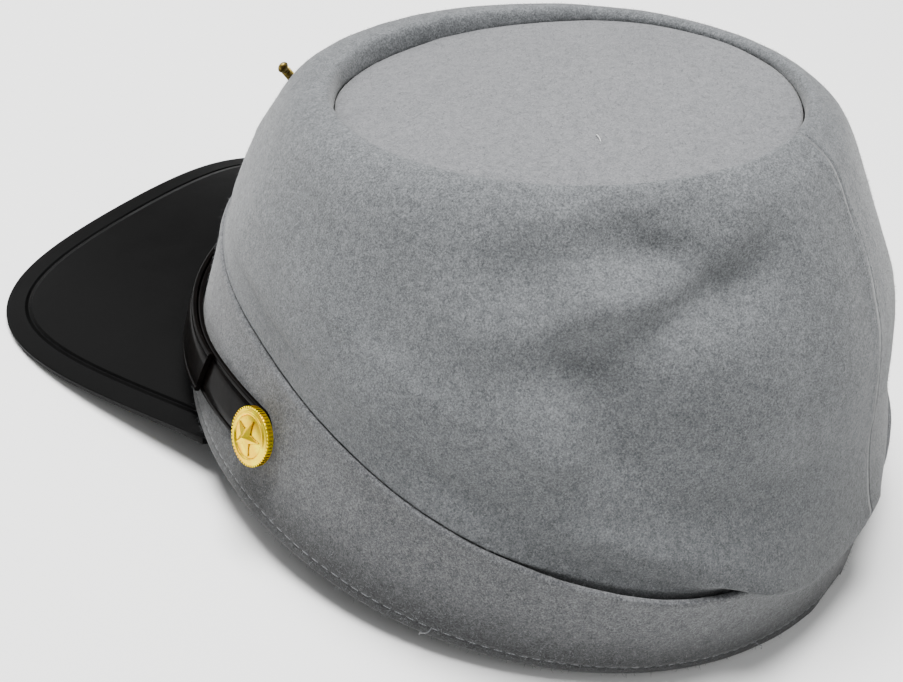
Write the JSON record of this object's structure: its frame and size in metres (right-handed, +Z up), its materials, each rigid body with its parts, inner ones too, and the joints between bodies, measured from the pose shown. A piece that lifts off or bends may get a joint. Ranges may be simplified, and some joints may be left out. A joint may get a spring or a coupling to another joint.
{
  "type": "kepi cap",
  "caption": "Felt kepi cap with a forward-tilted crown, recessed round top, leather peak, two-layer chin strap, buttons and a badge.",
  "frame": {"origin": "centre of the cap's bounding box in X and Y, on the surface it rests on", "axes": "+Z up from the surface, -Y towards the peak (the front), +X towards the wearer's left"},
  "size_m": [0.186, 0.2532, 0.1226],
  "materials": {
    "crown_felt": "brushed grey wool felt",
    "top_felt": "brushed grey wool felt",
    "band_felt": "brushed grey wool felt",
    "peak_leather": "black leather with a low sheen",
    "strap_leather": "black patent leather",
    "button_brass": "polished stamped brass",
    "badge_brass": "dull stamped brass"
  },
  "bodies": {
    "root": {"crown": "crown_felt", "crown_top": "top_felt", "band": "band_felt", "peak": "peak_leather", "strap_under": "strap_leather", "strap_over": "strap_leather", "button_left": "button_brass", "button_right": "button_brass", "badge": "badge_brass"}
  },
  "joints": []
}
